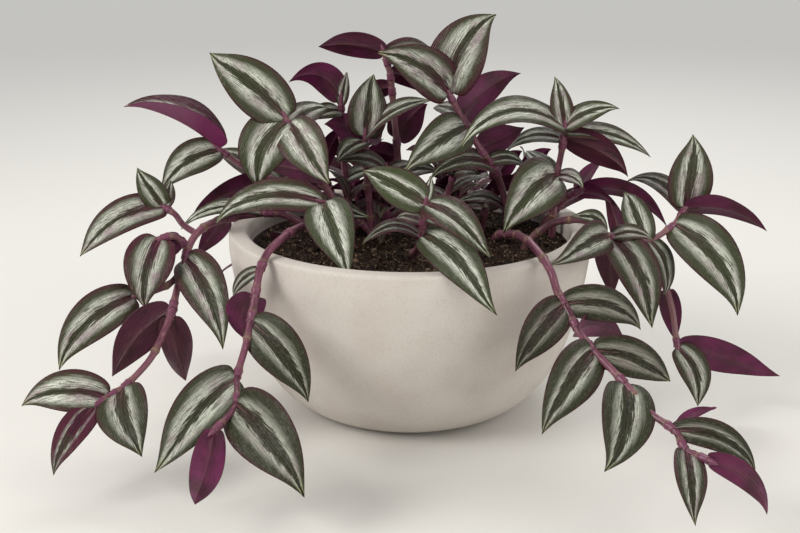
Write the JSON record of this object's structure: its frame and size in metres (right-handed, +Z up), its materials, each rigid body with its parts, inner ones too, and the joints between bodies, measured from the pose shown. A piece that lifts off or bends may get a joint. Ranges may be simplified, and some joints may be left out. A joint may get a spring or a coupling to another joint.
{
  "type": "potted tradescantia",
  "caption": "House plant with silver-striped, purple-backed leaves on trailing stems, growing in soil in a round bowl pot.",
  "frame": {"origin": "middle of the pot's flat base", "axes": "+Z up out of the pot's mouth; -Y is the front that the picture shows, +X its right"},
  "size_m": [0.429, 0.3996, 0.241],
  "materials": {
    "pot": "matte unglazed stoneware with a faint speckle",
    "soil": "fine loose potting soil",
    "foliage": "satin leaves, green with two silver bands above and purple beneath"
  },
  "bodies": {
    "root": {"pot": "pot", "soil": "soil", "shoot_upper_left": "foliage", "shoot_top_left": "foliage", "shoot_back_left": "foliage", "shoot_back_top": "foliage", "shoot_middle": "foliage", "shoot_top_right": "foliage", "shoot_right": "foliage", "shoot_right_low": "foliage", "shoot_far_right": "foliage", "trailer_front_right": "foliage", "shoot_front": "foliage", "shoot_inner_right": "foliage", "shoot_inner": "foliage", "shoot_front_left": "foliage", "trailer_front_left": "foliage", "trailer_far_left": "foliage", "shoot_left_inner": "foliage", "trailer_rear_1": "foliage", "trailer_rear_2": "foliage", "trailer_rear_3": "foliage", "trailer_rear_4": "foliage", "trailer_rear_5": "foliage", "shoot_rear_1": "foliage", "shoot_rear_2": "foliage", "shoot_rear_3": "foliage", "shoot_rear_4": "foliage"}
  },
  "joints": []
}
